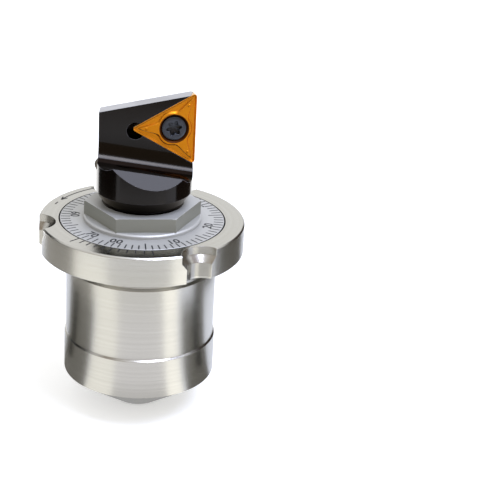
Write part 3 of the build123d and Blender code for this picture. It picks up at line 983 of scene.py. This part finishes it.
# Name, first and last angle, level, profile, tint
cards = [
    ("underCap", -180, 180, 0.4, capShape, plain),
    ("frontNear", -44, 44, 0.80, footShape, (1.0, 0.995, 1.02)),
    ("frontFloor", -44, 44, 1.0, stripeShape, (1.0, 0.995, 1.04)),
    ("frontFloorFar", -46, 46, 0.93, farShape, plain),
    ("leftShade", -117, -61, 0.21, nearShape, (1.0, 0.97, 0.90)),
    ("leftStripe", -105, -93, 0.02, stripeShape, (1.0, 0.85, 0.6)),
    ("leftShadeFar", -119, -66, 0.45, farShape, (1.0, 0.97, 0.92)),
    ("leftShadeHigh", -119, -58, 0.01, highShape, plain),
    ("rightShade", 63.5, 108, 0.18, nearShape, (1.0, 0.97, 0.90)),
    ("rightStripe", 84, 95, 0.01, stripeShape, (1.0, 0.85, 0.6)),
    ("rightShadeFar", 86, 140, 0.15, farShape, (1.0, 0.96, 0.88)),
    ("rightShadeHigh", 84, 146, 0.05, highShape, (1.0, 0.7, 0.5)),
    ("rightReflector", 38, 58, 1.7, nearShape, (1.0, 0.99, 0.96)),
    ("rightReflectorFar", 36, 58, 1.8, farShape, (1.0, 0.99, 0.95)),
    ("leftReflector", -58, -24, 1.35, nearShape, (1.0, 0.99, 0.96)),
    ("leftReflectorFar", -66, -28, 1.4, farShape, (1.0, 0.99, 0.95)),
    ("leftRimLight", -178, -120, 4.5, rimShape, plain),
    ("rightRimLight", 146, 176, 2.0, rimShape, plain),
    ("frontStripe", -50, 60, 0.06, lineShape, plain),
    ("frontShade", -62, 78, 0.32, frontShape, (1.0, 0.75, 0.50)),
    ("grooveLight", 16, 56, 12.0, overShape, (0.90, 0.94, 1.12)),
]
cardSteps = 16

# Each card lies a little further in and higher than the one before, so that no two share a place
cardIn = 0.1
cardUp = 0.05


def towards(side, height):
    turn = radians(cameraSide + side)
    up = radians(height)
    return Vector((cos(turn) * cos(up), sin(turn) * cos(up), sin(up)))


def makeCard(number, name, start, end, level, shape, tint):
    form = bmesh.new()
    rows = []
    for radius, height in shape:
        row = []
        for step in range(cardSteps + 1):
            turn = cameraSide + start + (end - start) * step / cardSteps
            x, y = polar(radius - cardIn * number, turn)
            row.append(form.verts.new((x * mm, y * mm, (height + cardUp * number) * mm)))
        rows.append(row)
    for low, high in zip(rows, rows[1:]):
        for step in range(cardSteps):
            form.faces.new((low[step], low[step + 1], high[step + 1], high[step]))
    mesh = bpy.data.meshes.new(name)
    form.to_mesh(mesh)
    form.free()
    piece = bpy.data.objects.new(name, mesh)
    bpy.context.collection.objects.link(piece)
    material, tree, shader = startMaterial(name)
    glow = addNode(tree, "ShaderNodeEmission", {"Strength": level, "Color": (*tint, 1)})
    link(tree, glow.outputs[0], tree.nodes["Material Output"].inputs["Surface"])
    mesh.materials.append(material)
    piece.visible_camera = False
    piece.visible_diffuse = False
    piece.visible_shadow = False
    piece.visible_transmission = False


def hangSoftbox():
    lamp = bpy.data.lights.new("softbox", "AREA")
    lamp.shape = "SQUARE"
    lamp.size = softbox["size"]
    lamp.energy = softbox["level"] * pi * softbox["size"] ** 2
    lamp.color = softbox["colour"]
    piece = bpy.data.objects.new("softbox", lamp)
    bpy.context.collection.objects.link(piece)
    way = towards(softbox["side"], softbox["height"])
    piece.location = way * softbox["distance"]
    piece.rotation_mode = "QUATERNION"
    piece.rotation_quaternion = way.to_track_quat("Z", "Y")


def lightWorld():
    world = bpy.data.worlds.new("studio")
    world.use_nodes = True
    bpy.context.scene.world = world
    tree = world.node_tree
    light = tree.nodes["Background"]
    light.inputs["Strength"].default_value = worldLook["light"]
    light.inputs["Color"].default_value = (*plain, 1)
    seen = addNode(tree, "ShaderNodeBackground", {"Strength": worldLook["seen"], "Color": (*plain, 1)})
    path = addNode(tree, "ShaderNodeLightPath")
    shown = calc(tree, "MAXIMUM", path.outputs["Is Camera Ray"], path.outputs["Is Glossy Ray"])
    shown = calc(tree, "MAXIMUM", shown, path.outputs["Is Transmission Ray"])
    both = addNode(tree, "ShaderNodeMixShader", {0: shown, 1: light.outputs[0], 2: seen.outputs[0]})
    link(tree, both.outputs[0], tree.nodes["World Output"].inputs["Surface"])


for number, card in enumerate(cards):
    makeCard(number, *card)
hangSoftbox()
lightWorld()
bpy.context.scene.view_settings.view_transform = "Standard"
print("studio lit")
